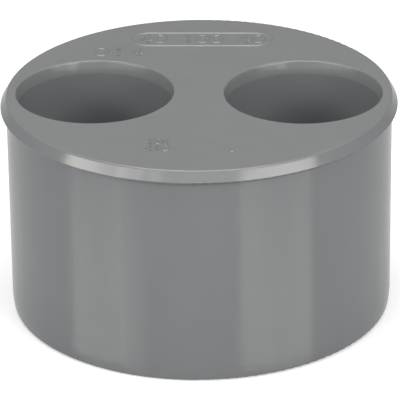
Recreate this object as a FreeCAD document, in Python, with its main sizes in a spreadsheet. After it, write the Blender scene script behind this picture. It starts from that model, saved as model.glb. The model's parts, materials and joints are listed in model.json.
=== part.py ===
import FreeCAD, Part
import math
import os
import Sketcher
from FreeCAD import Vector

# Reducing bushing for waste pipes: a short plug that goes into a 100 mm socket and takes two 40 mm pipes.
# It is one moulding: a spigot shell, a top plate with a rim, and two socket tubes that hang from the plate.
# +Z is up, the sockets lie along X, and the origin is the centre of the spigot's open end.

NODE = "reducing_bushing"

# Each driving dimension in millimetres, with what it measures.
SIZES = [
    ("spigot_radius", "50.0", "outside of the spigot, for a 100 mm socket"),
    ("spigot_length", "55.4", "from the open end up to the underside of the rim"),
    ("spigot_wall", "3.0", "wall of the spigot shell"),
    ("lead_height", "4.0", "height of the rounded lead-in at the open end"),
    ("lead_inset", "0.4", "how far the lead-in draws the open end in"),
    ("end_round", "0.6", "rounding of the open end's two edges"),
    ("rim_height", "3.0", "height of the rim that stops on the outer socket"),
    ("rim_overhang", "1.72", "how far the rim's lower edge stands out past the spigot"),
    ("rim_setback", "1.85", "how far the rim's top edge lies inside its lower edge"),
    ("rim_round", "0.3", "rounding of the rim's lower edge"),
    ("rim_top_round", "0.8", "rounding between the rim's face and the plate"),
    ("plate_thickness", "3.0", "top plate"),
    ("inner_round", "1.2", "rounding inside, where plate, wall and tubes meet"),
    ("socket_radius", "20.1", "inside of each socket, for a 40 mm pipe"),
    ("socket_wall", "2.7", "wall of each socket tube"),
    ("socket_skin", "0.2", "how far each tube's outside stays inside the spigot's outside"),
    ("socket_depth", "26.0", "how deep a pipe goes in, from the plate's top to the stop"),
    ("mouth_widening", "0.4", "how much wider the mouth is than the socket, on the radius"),
    ("mouth_depth", "3.4", "depth of the tapered mouth"),
    ("mouth_round", "0.5", "rounding of the mouth's edge"),
    ("stop_width", "2.0", "how far the pipe stop reaches in from the socket's wall"),
    ("stop_height", "2.6", "thickness of the pipe stop"),
]

# Places and radii that follow from the driving dimensions.
TOP = "(Sizes.spigot_length + Sizes.rim_height)"
PLATE_UNDERSIDE = "(%s - Sizes.plate_thickness)" % TOP
END_RADIUS = "(Sizes.spigot_radius - Sizes.lead_inset)"
INNER_RADIUS = "(Sizes.spigot_radius - Sizes.spigot_wall)"
RIM_RADIUS = "(Sizes.spigot_radius + Sizes.rim_overhang)"
RIM_TOP_RADIUS = "(%s - Sizes.rim_setback)" % RIM_RADIUS
TUBE_RADIUS = "(Sizes.socket_radius + Sizes.socket_wall)"
SOCKET_OFFSET = "(Sizes.spigot_radius - Sizes.socket_skin - %s)" % TUBE_RADIUS
MOUTH_RADIUS = "(Sizes.socket_radius + Sizes.mouth_widening)"
MOUTH_FLOOR = "(%s - Sizes.mouth_depth)" % TOP
STOP_RADIUS = "(Sizes.socket_radius - Sizes.stop_width)"
STOP_FACE = "(%s - Sizes.socket_depth)" % TOP
TUBE_END = "(%s - Sizes.stop_height)" % STOP_FACE

# Numbers that stand for a sketch's own axes, and for the points of a line, arc or circle.
H_AXIS, V_AXIS = -1, -2
START, END, CENTRE = 1, 2, 3

UP = Vector(0, 0, 1)
TOLERANCE = 0.001


def write_sizes(doc):
    """Put the driving dimensions into the sheet, one row each, and name their cells."""
    sheet = doc.addObject("Spreadsheet::Sheet", "Sizes")
    for row, (name, value, meaning) in enumerate(SIZES, 1):
        sheet.set("A%d" % row, meaning)
        sheet.set("B%d" % row, value)
        sheet.setAlias("B%d" % row, name)
    doc.recompute()


def origin_plane(body, role):
    """The body's own base plane with this role, such as XZ_Plane."""
    return next(f for f in body.Origin.OriginFeatures if f.Role == role)


def new_sketch(body, name, role):
    """An empty sketch on one of the body's base planes."""
    sketch = body.newObject("Sketcher::SketchObject", name)
    sketch.AttachmentSupport = (origin_plane(body, role), [""])
    sketch.MapMode = "FlatFace"
    return sketch


def number(sketch, expression):
    """What an expression comes to now, as a plain number."""
    value = sketch.evalExpression(expression)
    return float(getattr(value, "Value", value))


def arc_between(start, end, radius):
    """The short anticlockwise arc of this radius from start to end."""
    chord = end - start
    rise = math.sqrt(radius ** 2 - (chord.Length / 2) ** 2)
    across = Vector(-chord.y, chord.x, 0).normalize()
    centre = (start + end) * 0.5 + across * rise
    first = math.atan2(start.y - centre.y, start.x - centre.x)
    last = math.atan2(end.y - centre.y, end.x - centre.x)
    return Part.ArcOfCircle(Part.Circle(centre, UP, radius), first, last)


def bind(sketch, constraint, name, expression):
    """Add a dimension to a sketch and tie it to an expression."""
    index = sketch.addConstraint(constraint)
    sketch.renameConstraint(index, name)
    sketch.setExpression("Constraints." + name, expression)


def place(sketch, geometry, name, at, radial, height):
    """Hold a point at a distance from each axis, or on the axis itself where that is None."""
    if radial is None:
        sketch.addConstraint(Sketcher.Constraint("PointOnObject", geometry, START, V_AXIS))
    else:
        across = Sketcher.Constraint("DistanceX", H_AXIS, START, geometry, START, at.x)
        bind(sketch, across, name + "_radius", radial)
    if height is None:
        sketch.addConstraint(Sketcher.Constraint("PointOnObject", geometry, START, H_AXIS))
    else:
        rise = Sketcher.Constraint("DistanceY", H_AXIS, START, geometry, START, at.y)
        bind(sketch, rise, name + "_height", height)


class Side:
    """One side of a half section: straight, or an anticlockwise arc where it has a radius."""

    def __init__(self, start, end, radius):
        chord = end - start
        half_turn = math.degrees(math.asin(chord.Length / 2 / radius)) if radius else 0.0
        self.start = start
        self.end = end
        self.radius = radius
        self.leaving = FreeCAD.Rotation(UP, -half_turn).multVec(chord).normalize()
        self.arriving = FreeCAD.Rotation(UP, half_turn).multVec(chord).normalize()

    def geometry(self, off_start, off_end):
        """The line or arc, with a little taken off each end to leave room for a rounded corner."""
        start = self.start + self.leaving * off_start
        end = self.end - self.arriving * off_end
        if self.radius:
            return arc_between(start, end, self.radius)
        return Part.LineSegment(start, end)


def setback(before, after, radius):
    """How far from a corner its rounding starts, where one side meets the next."""
    turn = before.arriving.getAngle(after.leaving)
    return radius * math.tan(turn / 2)


def add_round(sketch, name, radius, before, after, sides):
    """Round the corner between two sides, given by number, and keep the sharp corner as a point on both."""
    size = number(sketch, radius)
    corner = sides[after].start
    length = setback(sides[before], sides[after], size)
    start = corner - sides[before].arriving * length
    end = corner + sides[after].leaving * length
    arc = sketch.addGeometry(arc_between(start, end, size), False)
    sketch.addConstraint(Sketcher.Constraint("Tangent", before, END, arc, START))
    sketch.addConstraint(Sketcher.Constraint("Tangent", arc, END, after, START))
    bind(sketch, Sketcher.Constraint("Radius", arc, size), name + "_round", radius)
    sharp = sketch.addGeometry(Part.Point(corner), True)
    sketch.addConstraint(Sketcher.Constraint("PointOnObject", sharp, START, before))
    sketch.addConstraint(Sketcher.Constraint("PointOnObject", sharp, START, after))
    return sharp


def draw_profile(sketch, corners, arcs, rounds):
    """Draw a closed half section through named corners, anticlockwise.

    A corner is (name, radius, height), with None for a place on an axis. The side that leaves a corner is
    an arc where arcs gives its radius by the corner's name, and the corner is rounded where rounds gives one.
    """
    count = len(corners)
    points = [
        Vector(number(sketch, radial or "0"), number(sketch, height or "0"), 0)
        for _, radial, height in corners
    ]
    sides = []
    for index, (name, _, _) in enumerate(corners):
        radius = number(sketch, arcs[name]) if name in arcs else None
        sides.append(Side(points[index], points[(index + 1) % count], radius))
    setbacks = []
    for index, (name, _, _) in enumerate(corners):
        rounded = setback(sides[index - 1], sides[index], number(sketch, rounds.get(name, "0")))
        setbacks.append(rounded)
    for index, side in enumerate(sides):
        sketch.addGeometry(side.geometry(setbacks[index], setbacks[(index + 1) % count]), False)
    for index, (name, radial, height) in enumerate(corners):
        previous = (index - 1) % count
        if name in rounds:
            held = add_round(sketch, name, rounds[name], previous, index, sides)
        else:
            sketch.addConstraint(Sketcher.Constraint("Coincident", previous, END, index, START))
            held = index
        place(sketch, held, name, points[index], radial, height)
        if name in arcs:
            curve = Sketcher.Constraint("Radius", index, sides[index].radius)
            bind(sketch, curve, name + "_bulge", arcs[name])


def turn_shell(body):
    """The spigot, its rim and the top plate, turned as one hollow cap."""
    sketch = new_sketch(body, "ShellSection", "XZ_Plane")
    # A circle through the lead-in's two ends that is upright where it meets the spigot.
    lead_radius = "((Sizes.lead_height ^ 2 + Sizes.lead_inset ^ 2) / (2 * Sizes.lead_inset))"
    corners = [
        ("inner_end", INNER_RADIUS, None),
        ("outer_end", END_RADIUS, None),
        ("lead_top", "Sizes.spigot_radius", "Sizes.lead_height"),
        ("shoulder", "Sizes.spigot_radius", "Sizes.spigot_length"),
        ("rim_edge", RIM_RADIUS, "Sizes.spigot_length"),
        ("rim_top", RIM_TOP_RADIUS, TOP),
        ("plate_centre", None, TOP),
        ("underside_centre", None, PLATE_UNDERSIDE),
        ("inner_corner", INNER_RADIUS, PLATE_UNDERSIDE),
    ]
    arcs = {"outer_end": lead_radius}
    rounds = {
        "inner_end": "Sizes.end_round",
        "outer_end": "Sizes.end_round",
        "rim_edge": "Sizes.rim_round",
        "rim_top": "Sizes.rim_top_round",
    }
    draw_profile(sketch, corners, arcs, rounds)
    shell = body.newObject("PartDesign::Revolution", "Shell")
    shell.Profile = (sketch, [""])
    shell.ReferenceAxis = (sketch, ["V_Axis"])
    shell.Angle = 360.0
    sketch.Visibility = False
    return shell


def pad_tube(body):
    """The outside of one socket tube, from its lower end to halfway up the plate."""
    sketch = new_sketch(body, "TubeCircle", "XY_Plane")
    sketch.setExpression("AttachmentOffset.Base.z", TUBE_END)
    centre = Vector(number(sketch, SOCKET_OFFSET), 0, 0)
    radius = number(sketch, TUBE_RADIUS)
    circle = sketch.addGeometry(Part.Circle(centre, UP, radius), False)
    sketch.addConstraint(Sketcher.Constraint("PointOnObject", circle, CENTRE, H_AXIS))
    offset = Sketcher.Constraint("DistanceX", H_AXIS, START, circle, CENTRE, centre.x)
    bind(sketch, offset, "socket_offset", SOCKET_OFFSET)
    bind(sketch, Sketcher.Constraint("Radius", circle, radius), "tube_radius", TUBE_RADIUS)
    tube = body.newObject("PartDesign::Pad", "Tube")
    tube.Profile = (sketch, [""])
    tube.setExpression("Length", "%s + Sizes.plate_thickness / 2 - %s" % (PLATE_UNDERSIDE, TUBE_END))
    sketch.Visibility = False
    return tube


def bore_socket(body):
    """The inside of one socket: a tapered mouth, the wall that holds the pipe, and the stop below it."""
    sketch = new_sketch(body, "SocketSection", "XZ_Plane")
    sketch.setExpression("AttachmentOffset.Base.x", SOCKET_OFFSET)
    corners = [
        ("through_end", None, TUBE_END),
        ("stop_end", STOP_RADIUS, TUBE_END),
        ("stop_edge", STOP_RADIUS, STOP_FACE),
        ("stop_corner", "Sizes.socket_radius", STOP_FACE),
        ("mouth_floor", "Sizes.socket_radius", MOUTH_FLOOR),
        ("mouth_edge", MOUTH_RADIUS, TOP),
        ("mouth_centre", None, TOP),
    ]
    draw_profile(sketch, corners, {}, {})
    socket = body.newObject("PartDesign::Groove", "Socket")
    socket.Profile = (sketch, [""])
    socket.ReferenceAxis = (sketch, ["V_Axis"])
    socket.Angle = 360.0
    sketch.Visibility = False
    return socket


def mirror_socket(body, features):
    """The second tube and socket, on the other side of the middle."""
    mirrored = body.newObject("PartDesign::Mirrored", "SecondSocket")
    mirrored.Originals = features
    mirrored.MirrorPlane = (origin_plane(body, "YZ_Plane"), [""])
    body.Tip = mirrored
    return mirrored


def circle_edges(shape, centre, radius):
    """Names of the shape's circular edges with this centre and radius."""
    names = []
    for index, edge in enumerate(shape.Edges, 1):
        if not isinstance(edge.Curve, Part.Circle):
            continue
        same_place = edge.Curve.Center.distanceToPoint(centre) < TOLERANCE
        if same_place and abs(edge.Curve.Radius - radius) < TOLERANCE:
            names.append("Edge%d" % index)
    return names


def upright_edges(shape, low, high):
    """Names of the shape's straight edges that stand between these two heights."""
    names = []
    for index, edge in enumerate(shape.Edges, 1):
        if not isinstance(edge.Curve, Part.Line):
            continue
        heights = sorted(vertex.Z for vertex in edge.Vertexes)
        if abs(heights[0] - low) < TOLERANCE and abs(heights[-1] - high) < TOLERANCE:
            names.append("Edge%d" % index)
    return names


def round_edges(body, name, size, circles, uprights=()):
    """Round circular edges, given as (centre, radius), and upright ones, given as (low, high)."""
    base = body.Tip
    found = [circle_edges(base.Shape, centre, radius) for centre, radius in circles]
    found += [upright_edges(base.Shape, low, high) for low, high in uprights]
    if not all(found):
        raise RuntimeError(name + ": an edge to round was not found")
    edges = sum(found, [])
    fillet = body.newObject("PartDesign::Fillet", name)
    fillet.Base = (base, edges)
    fillet.setExpression("Radius", "Sizes." + size)
    base.Visibility = False
    body.Document.recompute()
    return fillet


def check(doc, body):
    """Stop if any object failed, or if the body isn't one sound solid."""
    for thing in doc.Objects:
        if "Invalid" in thing.State or "Error" in thing.State:
            raise RuntimeError(thing.Name + " failed: " + ", ".join(thing.State))
    if body.Shape.isNull() or not body.Shape.isValid() or len(body.Shape.Solids) != 1:
        raise RuntimeError(body.Label + " isn't one sound solid")


def build_bushing(doc):
    """The whole moulding as one body."""
    body = doc.addObject("PartDesign::Body", NODE)
    body.Label = NODE
    turn_shell(body)
    doc.recompute()
    tube = pad_tube(body)
    doc.recompute()
    padded_volume = tube.Shape.Volume
    socket = bore_socket(body)
    doc.recompute()
    if socket.Shape.Volume >= padded_volume:
        raise RuntimeError("the socket was not cut")
    one_socket_volume = socket.Shape.Volume
    second = mirror_socket(body, [tube, socket])
    doc.recompute()
    if abs(second.Shape.Volume - one_socket_volume) < TOLERANCE:
        raise RuntimeError("the second socket was not made")

    top = number(body, TOP)
    offset = number(body, SOCKET_OFFSET)
    mouths = [(Vector(side * offset, 0, top), number(body, MOUTH_RADIUS)) for side in (-1, 1)]
    underside = number(body, PLATE_UNDERSIDE)
    corner = [(Vector(0, 0, underside), number(body, INNER_RADIUS))]
    tube_roots = [(Vector(side * offset, 0, underside), number(body, TUBE_RADIUS)) for side in (-1, 1)]
    junctions = [(number(body, TUBE_END), underside)]
    round_edges(body, "MouthRounds", "mouth_round", mouths)
    round_edges(body, "InnerRounds", "inner_round", corner + tube_roots, junctions)
    return body


def main():
    doc = FreeCAD.newDocument(NODE)
    write_sizes(doc)
    body = build_bushing(doc)
    check(doc, body)
    os.makedirs("parts", exist_ok=True)
    body.Shape.exportStep("parts/%s.step" % NODE)
    print(NODE, "volume", round(body.Shape.Volume, 1), "mm3")


main()
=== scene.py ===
import json
import math
import bmesh
import bpy
import numpy as np
from mathutils import Matrix, Vector

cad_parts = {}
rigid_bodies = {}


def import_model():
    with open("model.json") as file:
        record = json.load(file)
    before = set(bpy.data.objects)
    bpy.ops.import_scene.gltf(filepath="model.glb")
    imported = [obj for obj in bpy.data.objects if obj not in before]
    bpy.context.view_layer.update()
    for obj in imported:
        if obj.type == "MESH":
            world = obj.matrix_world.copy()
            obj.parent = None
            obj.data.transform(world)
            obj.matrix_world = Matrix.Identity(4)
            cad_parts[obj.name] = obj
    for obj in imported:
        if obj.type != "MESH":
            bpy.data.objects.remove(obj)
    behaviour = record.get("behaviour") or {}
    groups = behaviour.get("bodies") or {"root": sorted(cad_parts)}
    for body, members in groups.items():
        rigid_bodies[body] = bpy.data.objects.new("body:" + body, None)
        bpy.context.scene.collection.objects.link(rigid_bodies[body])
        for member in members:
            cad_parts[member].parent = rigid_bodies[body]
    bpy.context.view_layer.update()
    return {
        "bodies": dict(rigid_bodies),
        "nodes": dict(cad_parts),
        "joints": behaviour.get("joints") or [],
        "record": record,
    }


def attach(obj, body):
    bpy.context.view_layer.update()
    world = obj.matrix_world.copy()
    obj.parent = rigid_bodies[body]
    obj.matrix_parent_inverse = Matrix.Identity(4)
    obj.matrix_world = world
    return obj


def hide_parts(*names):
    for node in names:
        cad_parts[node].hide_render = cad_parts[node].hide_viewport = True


MM = 0.001
NODE = "reducing_bushing"
BODY = "root"

# Sizes of the moulding, in millimetres, as the solid has them.
PLATE_TOP = 58.4
RIM_UNDERSIDE = 55.4
RIM_RADIUS = 51.72
RIM_TOP_RADIUS = 49.87
RIM_ROUND = 0.3
RIM_TOP_ROUND = 0.8
SPIGOT_RADIUS = 50.0
SOCKET_OFFSET = 27.0
SOCKET_RADIUS = 20.1
MOUTH_RADIUS = 20.5
MOUTH_FLOOR = 55.0
MOUTH_ROUND = 0.5

# A point nearer to a turned surface than this, in millimetres, lies on it.
ON_SURFACE = 0.01

# The height up to which a mouth is shaded as a taper, and how far the normals there lean up from level, in
# degrees, at the taper's foot and at its top.
MOUTH_TAPER_TOP = 58.0
MOUTH_LEAN = (10.5, 16.5)

# Raised lines on the plate: the radius of each kind of line, and how deep its middle is sunk.
FRAME_LINE = (0.9, 0.62)
NUMBER_LINE = (0.58, 0.3)
STAMP_LINE = (0.42, 0.14)

# The raised frame: its middle, its width and height, and the length of its straight sides.
FRAME_PLACE = (-0.3, 35.7)
FRAME_SIZE = (37.2, 8.9)
FRAME_STRAIGHT = 28.3

# Each row of raised figures: its text, its middle, the pitch of its figures, and a figure's width and height.
FRAMED_NUMBERS = ("40 100 40", (-0.1, 35.7), 3.75, 2.8, 5.0)
CAVITY_NUMBER = ("014", (-22.0, 26.4), 4.8, 3.0, 4.8)
STAMP_BACK_ROW = ("104", (-9.3, -32.4), 2.0, 1.4, 2.8)
STAMP_FRONT_ROW = ("410", (-9.3, -36.3), 2.0, 1.4, 2.8)

# The strokes of plain figures, as shares of half a figure's width and height, and the straight share of a
# nought's width.
STROKES = {
    "1": [(-0.4, 0.55), (0, 1), (0, -1)],
    "4": [(0.4, -1), (0.4, 1), (-1, -0.35), (1, -0.35)],
}
NOUGHT_STRAIGHT = 0.3

# How many straight lines make up half a turn of a raised line.
HALF_TURN_STEPS = 16

# A small scar on the plate where the plastic was let into the mould: its place, radius and height.
GATE_PLACE = (9.3, -38.0)
GATE_RADIUS = 0.8
GATE_HEIGHT = 0.22

# The plastic's colour, in its darker and lighter clouds, and the least and most of its roughness.
PVC_DARK = (0.158, 0.169, 0.182)
PVC_LIGHT = (0.167, 0.178, 0.191)
PVC_ROUGHNESS = (0.12, 0.18)
PVC_IOR = 1.5

# How fine each pattern in the plastic is, in patches per metre, and how deep its relief is, in millimetres.
# The flow marks are stretched upright, because heights count less than widths in them.
FLOW_SCALE = 130.0
FLOW_DEPTH = 0.005
FLOW_UPRIGHT = 0.12
MOTTLE_SCALE = 45.0
GRAIN_SCALE = 2600.0
GRAIN_DEPTH = 0.0015
TURNED_SCALE = 2800.0
TURNED_DEPTH = 0.006

# Flow marks and mottle, added up, go from the darker to the lighter colour between these values.
CLOUD_RANGE = (0.7, 1.3)

# The turned lines on the rim start at the first of these radii and are full at the second, in millimetres.
TURNED_RADII = (SPIGOT_RADIUS + 0.1, SPIGOT_RADIUS + 0.3)

# Where the camera stands, what it looks at and how it is turned about its own line of sight. Its lens and
# sensor are in millimetres, and nothing nearer than its nearest distance, in metres, is drawn.
CAMERA_PLACE = Vector((27.331, -818.801, 407.411)) * MM
CAMERA_AIM = Vector((-0.064, -0.002, 27.345)) * MM
CAMERA_ROLL = math.radians(-0.689)
CAMERA_LENS = 309.32
CAMERA_NEAREST = 0.01
SENSOR_WIDTH = 36.0

# The middle of the object, which the lamps point at.
LAMP_AIM = Vector((0, 0, 30)) * MM

# Each lamp is given by where it shines from, seen from the object: its azimuth from straight in front, how
# wide it looks, and its lowest and highest elevation, all in degrees. Then its distance in metres and its
# brightness, where 1 is white.
LAMPS = {
    "left_softbox_low": (-62, 32, 5, 20, 1.0, 1.6),
    "left_softbox": (-62, 32, 20, 31, 1.0, 7.3),
    "left_softbox_high": (-62, 32, 31, 41, 1.0, 2.4),
    "left_fade": (-41.5, 9, 20, 29, 1.0, 5.5),
    "left_fade_soft": (-34, 6, 20, 29, 1.0, 2.5),
    "left_fade_low": (-34, 24, 5, 20, 1.0, 1.3),
    "left_fade_high": (-41, 12, 29, 43, 1.0, 3.2),
    "left_fade_inner": (-29, 12, 33, 43, 1.0, 2.0),
    "right_softbox_low": (53.5, 27, 5, 20, 1.0, 1.6),
    "right_low_inner": (33.5, 13, 5, 20, 1.0, 2.7),
    "right_softbox": (47, 42, 20, 29, 1.0, 7.5),
    "right_softbox_high": (50, 39, 29, 39, 1.0, 6.2),
    "front_low": (2.5, 49, 5, 20, 1.0, 0.9),
    "front_fill": (2.5, 49, 33, 42, 1.0, 1.5),
    "side_fill": (-90, 24, 5, 22, 1.0, 0.1),
    "overhead_front": (2, 48, 50, 70, 0.5, 0.8),
    "overhead": (0, 44, 72, 108, 0.6, 4.5),
    "overhead_back": (180, 48, 48, 70, 0.6, 1.5),
}
LAMP_COLOUR = (1.0, 0.97, 0.91)

# How light the pale surround looks to the camera and reflections.
SURROUND_SEEN = 0.33

# The floor's width in metres and how far it lies below the object in millimetres. Then its colour to the
# camera and to all other rays, the light that lifts it to white where it is seen, and its slight gloss.
FLOOR_WIDTH = 6.0
FLOOR_GAP = 0.2
FLOOR_COLOUR = (0.84, 0.865, 0.91)
FLOOR_BOUNCE = (0.5, 0.515, 0.542)
FLOOR_LIFT = 0.3
FLOOR_ROUGHNESS = 0.09
FLOOR_IOR = 2.0


def set_view():
    """Plain colour management, so that colours come out about as written."""
    bpy.context.scene.view_settings.view_transform = "Standard"


def add_camera():
    """The photograph's viewpoint: a long lens, a little above the object."""
    data = bpy.data.cameras.new("camera")
    data.lens = CAMERA_LENS
    data.sensor_width = SENSOR_WIDTH
    data.clip_start = CAMERA_NEAREST
    camera = bpy.data.objects.new("camera", data)
    turn = (CAMERA_AIM - CAMERA_PLACE).to_track_quat("-Z", "Y").to_matrix().to_4x4()
    camera.matrix_world = Matrix.Translation(CAMERA_PLACE) @ turn @ Matrix.Rotation(CAMERA_ROLL, 4, "Z")
    bpy.context.scene.collection.objects.link(camera)
    bpy.context.scene.camera = camera


def node_tree(owner):
    """The nodes of a material or a world, emptied."""
    owner.use_nodes = True
    owner.node_tree.nodes.clear()
    return owner.node_tree


def calculated(tree, operation, first, second):
    """What a calculation makes of a socket and of another socket or a number."""
    node = tree.nodes.new("ShaderNodeMath")
    node.operation = operation
    tree.links.new(first, node.inputs[0])
    if isinstance(second, float):
        node.inputs[1].default_value = second
    else:
        tree.links.new(second, node.inputs[1])
    return node.outputs[0]


def seen_only(tree, strength):
    """The given strength where the camera, a mirror or clear glass looks, 0 where light only scatters."""
    path = tree.nodes.new("ShaderNodeLightPath")
    seen = path.outputs["Is Camera Ray"]
    for name in ("Is Glossy Ray", "Is Transmission Ray"):
        seen = calculated(tree, "MAXIMUM", seen, path.outputs[name])
    return calculated(tree, "MULTIPLY", seen, strength)


def noise(tree, place, scale, detail=2.0):
    """Cloudy noise from 0 to 1 over the given place."""
    texture = tree.nodes.new("ShaderNodeTexNoise")
    texture.inputs["Scale"].default_value = scale
    texture.inputs["Detail"].default_value = detail
    tree.links.new(place, texture.inputs["Vector"])
    return texture.outputs["Fac"]


def stretched(tree, place, shares):
    """A place with each of its coordinates multiplied by its share."""
    node = tree.nodes.new("ShaderNodeVectorMath")
    node.operation = "MULTIPLY"
    node.inputs[1].default_value = shares
    tree.links.new(place, node.inputs[0])
    return node.outputs["Vector"]


def moved_range(tree, value, start=(0.0, 1.0), end=(0.0, 1.0)):
    """A value moved from one range to another, and held inside it."""
    node = tree.nodes.new("ShaderNodeMapRange")
    for name, number in zip(("From Min", "From Max", "To Min", "To Max"), (*start, *end)):
        node.inputs[name].default_value = number
    tree.links.new(value, node.inputs["Value"])
    return node.outputs["Result"]


def turned_lines(tree, place):
    """Fine lines round the axis, and the share of them at a place: all on the rim, none elsewhere."""
    reach = tree.nodes.new("ShaderNodeVectorMath")
    reach.operation = "LENGTH"
    tree.links.new(stretched(tree, place, (1.0, 1.0, 0.0)), reach.inputs[0])
    parts = tree.nodes.new("ShaderNodeSeparateXYZ")
    tree.links.new(place, parts.inputs["Vector"])
    profile = tree.nodes.new("ShaderNodeCombineXYZ")
    tree.links.new(reach.outputs["Value"], profile.inputs["X"])
    tree.links.new(parts.outputs["Z"], profile.inputs["Y"])
    share = moved_range(tree, reach.outputs["Value"], [radius * MM for radius in TURNED_RADII])
    return noise(tree, profile.outputs["Vector"], TURNED_SCALE), share


def bump(tree, height, depth, normal=None, share=None):
    """A relief of the given depth in millimetres.

    Where a normal is given, the relief lies on top of the one that made it. Where a share is given, only that
    share of the depth shows.
    """
    relief = tree.nodes.new("ShaderNodeBump")
    relief.inputs["Distance"].default_value = depth * MM
    tree.links.new(height, relief.inputs["Height"])
    if share:
        tree.links.new(share, relief.inputs["Strength"])
    if normal:
        tree.links.new(normal, relief.inputs["Normal"])
    return relief.outputs["Normal"]


def pvc():
    """Grey moulded plastic: even and satin, with faint upright flow marks, a soft mottle and a fine grain."""
    material = bpy.data.materials.new("satin_grey_pvc")
    tree = node_tree(material)
    link = tree.links.new
    place = tree.nodes.new("ShaderNodeNewGeometry").outputs["Position"]
    shader = tree.nodes.new("ShaderNodeBsdfPrincipled")
    shader.inputs["IOR"].default_value = PVC_IOR
    output = tree.nodes.new("ShaderNodeOutputMaterial")
    link(shader.outputs["BSDF"], output.inputs["Surface"])

    flow = noise(tree, stretched(tree, place, (1.0, 1.0, FLOW_UPRIGHT)), FLOW_SCALE)
    mottle = noise(tree, place, MOTTLE_SCALE, detail=3.0)
    grain = noise(tree, place, GRAIN_SCALE)

    colour = tree.nodes.new("ShaderNodeValToRGB")
    colour.color_ramp.elements[0].color = (*PVC_DARK, 1)
    colour.color_ramp.elements[1].color = (*PVC_LIGHT, 1)
    clouds = calculated(tree, "ADD", flow, mottle)
    link(moved_range(tree, clouds, start=CLOUD_RANGE), colour.inputs["Fac"])
    link(colour.outputs["Color"], shader.inputs["Base Color"])
    link(moved_range(tree, mottle, end=PVC_ROUGHNESS), shader.inputs["Roughness"])

    lines, share = turned_lines(tree, place)
    marks = bump(tree, lines, TURNED_DEPTH, bump(tree, flow, FLOW_DEPTH), share)
    link(bump(tree, grain, GRAIN_DEPTH, marks), shader.inputs["Normal"])
    return material


def add_piece(name, data, material):
    """A piece of the moulding, made of the plastic, which moves with the part."""
    data.materials.clear()
    data.materials.append(material)
    piece = bpy.data.objects.new(name, data)
    bpy.context.scene.collection.objects.link(piece)
    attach(piece, BODY)
    return piece


def rounded_outline(corners, rounds):
    """The straight and round stretches of an outline whose inner corners are rounded.

    A straight stretch is (start, end, normal), a round one is (centre, radius, side, first, last), where
    first and last are the outward normals at its two ends and side is -1 where the corner is hollow.
    """
    corners = [np.array(corner, float) for corner in corners]
    along = [(b - a) / np.linalg.norm(b - a) for a, b in zip(corners, corners[1:])]
    across = [np.array((-way[1], way[0])) for way in along]
    starts, ends = list(corners[:-1]), list(corners[1:])
    arcs = []
    for index, radius in enumerate(rounds):
        turn = along[index][0] * along[index + 1][1] - along[index][1] * along[index + 1][0]
        side = -1.0 if turn > 0 else 1.0
        half = math.acos(np.clip(along[index] @ along[index + 1], -1, 1)) / 2
        back = radius * math.tan(half)
        ends[index] = corners[index + 1] - along[index] * back
        starts[index + 1] = corners[index + 1] + along[index + 1] * back
        centre = ends[index] - across[index] * radius * side
        arcs.append((centre, radius, side, across[index], across[index + 1]))
    return list(zip(starts, ends, across)), arcs


def outline_normals(points, outline):
    """How far each point, as (radius, height), lies from an outline, and the outline's normal there."""
    lines, arcs = outline
    away = np.full(len(points), np.inf)
    normals = np.zeros((len(points), 2))
    for start, end, normal in lines:
        run = end - start
        share = np.clip((points - start) @ run / (run @ run), 0, 1)
        distance = np.linalg.norm(points - start - share[:, None] * run, axis=1)
        nearer = distance < away
        away[nearer] = distance[nearer]
        normals[nearer] = normal
    for centre, radius, side, first, last in arcs:
        arm = points - centre
        reach = np.maximum(np.linalg.norm(arm, axis=1), 1e-9)
        outward = side * arm / reach[:, None]
        widest = first @ last
        distance = np.abs(reach - radius)
        nearer = (outward @ first >= widest) & (outward @ last >= widest) & (distance < away)
        away[nearer] = distance[nearer]
        normals[nearer] = outward[nearer]
    return away, normals


def turned_surfaces():
    """The outlines that show small rounds, each with the place of the axis that it is turned about."""
    rim = rounded_outline(
        [
            (0, PLATE_TOP),
            (RIM_TOP_RADIUS, PLATE_TOP),
            (RIM_RADIUS, RIM_UNDERSIDE),
            (SPIGOT_RADIUS, RIM_UNDERSIDE),
        ],
        [RIM_TOP_ROUND, RIM_ROUND],
    )
    mouth = rounded_outline(
        [(SOCKET_RADIUS, MOUTH_FLOOR), (MOUTH_RADIUS, PLATE_TOP), (RIM_TOP_RADIUS, PLATE_TOP)],
        [MOUTH_ROUND],
    )
    return [(0.0, rim), (SOCKET_OFFSET, mouth), (-SOCKET_OFFSET, mouth)]


def lean_mouth(normals, height):
    """Lean a mouth's normals, as (outward, up), more and more towards the top of its taper."""
    share = np.clip((height - MOUTH_FLOOR) / (PLATE_TOP - MOUTH_ROUND - MOUTH_FLOOR), 0, 1)
    lean = np.radians(MOUTH_LEAN[0] + (MOUTH_LEAN[1] - MOUTH_LEAN[0]) * share)
    taper = height < MOUTH_TAPER_TOP
    normals[taper] = np.stack([-np.cos(lean), np.sin(lean)], 1)[taper]


def read_mesh(mesh):
    """A mesh's points in millimetres, and the point, the face and the normal of each corner of its faces."""
    points = np.zeros(len(mesh.vertices) * 3)
    mesh.vertices.foreach_get("co", points)
    corners = np.zeros(len(mesh.loops), int)
    mesh.loops.foreach_get("vertex_index", corners)
    faces = np.zeros(len(mesh.loops), int)
    for face in mesh.polygons:
        faces[face.loop_start:face.loop_start + face.loop_total] = face.index
    normals = np.zeros(len(mesh.loops) * 3)
    mesh.corner_normals.foreach_get("vector", normals)
    return points.reshape(-1, 3) / MM, corners, faces, normals.reshape(-1, 3)


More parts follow.
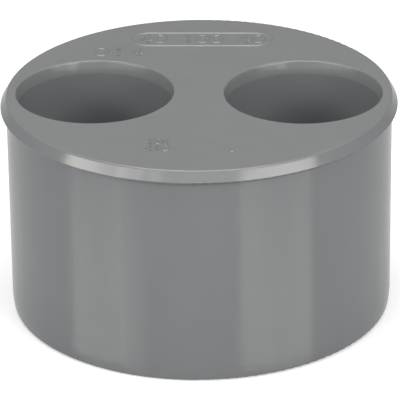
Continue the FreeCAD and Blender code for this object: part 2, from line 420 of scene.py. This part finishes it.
def smooth_moulding(node, material):
    """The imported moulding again, lit smoothly along its rounds.

    The solid's facets are slightly twisted where a small round runs along a large circle. This copy has the
    same points, and where a facet lies on a turned surface its corners get that surface's own normals. In a
    socket's mouth they lean more than the surface does, and more and more towards the top, as in a taper that
    is steeper and flares a little.
    """
    mesh = node.data.copy()
    points, corners, faces, normals = read_mesh(mesh)
    for offset, outline in turned_surfaces():
        x, y, height = points[:, 0] - offset, points[:, 1], points[:, 2]
        radius = np.hypot(x, y)
        away, flat = outline_normals(np.stack([radius, height], 1), outline)
        if offset:
            lean_mouth(flat, height)
        safe = np.maximum(radius, ON_SURFACE)
        turned = np.stack([flat[:, 0] * x / safe, flat[:, 0] * y / safe, flat[:, 1]], 1)
        off = np.bincount(faces, weights=away[corners] > ON_SURFACE) > 0
        chosen = ~off[faces]
        normals[chosen] = turned[corners[chosen]]
    mesh.normals_split_custom_set(normals)
    piece = add_piece("moulding", mesh, material)
    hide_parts(NODE)


def oval(width, height, straight):
    """The points of a closed loop with round ends, straight for part of its width, around its own middle."""
    points = []
    for end in (1, -1):
        for step in range(HALF_TURN_STEPS + 1):
            angle = math.radians(-90 + 180 * step / HALF_TURN_STEPS)
            across = end * (straight / 2 + math.cos(angle) * (width - straight) / 2)
            points.append((across, end * math.sin(angle) * height / 2))
    return points


def figure_line(figure, width, height):
    """The line of a plain figure around its own middle: its points and whether it is closed."""
    if figure == "0":
        return oval(width, height, width * NOUGHT_STRAIGHT), True
    return [(x * width / 2, y * height / 2) for x, y in STROKES[figure]], False


def figures(text, centre, pitch, width, height):
    """The lines of a row of figures around its middle. A space leaves a gap."""
    lines = []
    for index, figure in enumerate(text):
        if figure == " ":
            continue
        across = centre[0] + (index - (len(text) - 1) / 2) * pitch
        points, closed = figure_line(figure, width, height)
        lines.append(([(across + x, centre[1] + y) for x, y in points], closed))
    return lines


def raised_lines(name, lines, line, material):
    """Round raised lines on the plate, partly sunk into it."""
    radius, sunk = line
    curve = bpy.data.curves.new(name, "CURVE")
    curve.dimensions = "3D"
    curve.bevel_depth = radius * MM
    curve.bevel_resolution = 3
    curve.use_fill_caps = True
    for points, closed in lines:
        spline = curve.splines.new("POLY")
        spline.points.add(len(points) - 1)
        for place, (x, y) in zip(spline.points, points):
            place.co = (x * MM, y * MM, (PLATE_TOP - sunk) * MM, 1)
        spline.use_cyclic_u = closed
        spline.use_smooth = True
    add_piece(name, curve, material)


def gate_scar(material):
    """A low round scar, highest at its middle."""
    steps, rings = 24, 4
    base = Vector((GATE_PLACE[0], GATE_PLACE[1], PLATE_TOP)) * MM
    build = bmesh.new()
    top = build.verts.new(base + Vector((0, 0, GATE_HEIGHT)) * MM)
    loops = []
    for ring in range(1, rings + 1):
        tilt = math.radians(90 * ring / rings)
        radius, height = GATE_RADIUS * math.sin(tilt), GATE_HEIGHT * math.cos(tilt)
        loop = []
        for step in range(steps):
            angle = 2 * math.pi * step / steps
            place = Vector((radius * math.cos(angle), radius * math.sin(angle), height))
            loop.append(build.verts.new(base + place * MM))
        loops.append(loop)
    for step in range(steps):
        following = (step + 1) % steps
        build.faces.new((top, loops[0][step], loops[0][following]))
        for inner, outer in zip(loops, loops[1:]):
            build.faces.new((inner[step], outer[step], outer[following], inner[following]))
    build.faces.new(reversed(loops[-1]))
    mesh = bpy.data.meshes.new("gate_scar")
    build.to_mesh(mesh)
    build.free()
    for face in mesh.polygons:
        face.use_smooth = len(face.vertices) < steps
    add_piece("gate_scar", mesh, material)


def add_marks(material):
    """Figures in and beside a raised frame behind the sockets, and a small stamp and a scar in front."""
    frame = [(x + FRAME_PLACE[0], y + FRAME_PLACE[1]) for x, y in oval(*FRAME_SIZE, FRAME_STRAIGHT)]
    raised_lines("raised_frame", [(frame, True)], FRAME_LINE, material)
    raised_lines("framed_numbers", figures(*FRAMED_NUMBERS), NUMBER_LINE, material)
    raised_lines("cavity_number", figures(*CAVITY_NUMBER), NUMBER_LINE, material)
    stamp = figures(*STAMP_BACK_ROW) + figures(*STAMP_FRONT_ROW)
    raised_lines("mould_stamp", stamp, STAMP_LINE, material)
    gate_scar(material)


def floor_material():
    """Pale table: matt and white with its shadow to the camera, and slightly glossy to reflections."""
    material = bpy.data.materials.new("pale_floor")
    tree = node_tree(material)
    link = tree.links.new
    matt = tree.nodes.new("ShaderNodeBsdfDiffuse")
    matt.inputs["Color"].default_value = (*FLOOR_COLOUR, 1)
    glossy = tree.nodes.new("ShaderNodeBsdfPrincipled")
    glossy.inputs["Base Color"].default_value = (*FLOOR_BOUNCE, 1)
    glossy.inputs["Roughness"].default_value = FLOOR_ROUGHNESS
    glossy.inputs["IOR"].default_value = FLOOR_IOR
    path = tree.nodes.new("ShaderNodeLightPath")
    by_ray = tree.nodes.new("ShaderNodeMixShader")
    link(path.outputs["Is Camera Ray"], by_ray.inputs["Fac"])
    link(glossy.outputs["BSDF"], by_ray.inputs[1])
    link(matt.outputs["BSDF"], by_ray.inputs[2])

    lift = tree.nodes.new("ShaderNodeEmission")
    link(seen_only(tree, FLOOR_LIFT), lift.inputs["Strength"])
    both = tree.nodes.new("ShaderNodeAddShader")
    link(by_ray.outputs["Shader"], both.inputs[0])
    link(lift.outputs["Emission"], both.inputs[1])
    output = tree.nodes.new("ShaderNodeOutputMaterial")
    link(both.outputs["Shader"], output.inputs["Surface"])
    return material


def add_floor():
    """A wide flat floor under the object."""
    mesh = bpy.data.meshes.new("floor")
    half = FLOOR_WIDTH / 2
    corners = [(-half, -half, 0), (half, -half, 0), (half, half, 0), (-half, half, 0)]
    mesh.from_pydata(corners, [], [(0, 1, 2, 3)])
    mesh.materials.append(floor_material())
    floor = bpy.data.objects.new("floor", mesh)
    floor.location.z = -FLOOR_GAP * MM
    bpy.context.scene.collection.objects.link(floor)


def add_world():
    """An even pale surround that the camera and reflections see and that doesn't light the object."""
    world = bpy.data.worlds.new("surround")
    bpy.context.scene.world = world
    tree = node_tree(world)
    surround = tree.nodes.new("ShaderNodeBackground")
    surround.inputs["Color"].default_value = (1, 1, 1, 1)
    tree.links.new(seen_only(tree, SURROUND_SEEN), surround.inputs["Strength"])
    output = tree.nodes.new("ShaderNodeOutputWorld")
    tree.links.new(surround.outputs["Background"], output.inputs["Surface"])


def add_lamp(name, azimuth, wide, lowest, highest, distance, brightness):
    """A soft rectangular lamp that points at the object and fills the given part of its surroundings."""
    width = 2 * distance * math.tan(math.radians(wide / 2))
    height = 2 * distance * math.tan(math.radians((highest - lowest) / 2))
    data = bpy.data.lights.new(name, "AREA")
    data.shape = "RECTANGLE"
    data.size = width
    data.size_y = height
    data.energy = brightness * math.pi * width * height
    data.color = LAMP_COLOUR
    lamp = bpy.data.objects.new(name, data)
    side = math.radians(azimuth)
    up = math.radians((lowest + highest) / 2)
    toward = Vector((math.sin(side) * math.cos(up), -math.cos(side) * math.cos(up), math.sin(up)))
    lamp.location = LAMP_AIM + toward * distance
    lamp.rotation_euler = (-toward).to_track_quat("-Z", "Y").to_euler()
    bpy.context.scene.collection.objects.link(lamp)


def main():
    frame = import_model()
    set_view()
    add_camera()
    plastic = pvc()
    smooth_moulding(frame["nodes"][NODE], plastic)
    add_marks(plastic)
    add_floor()
    add_world()
    for name, lamp in LAMPS.items():
        add_lamp(name, *lamp)


main()
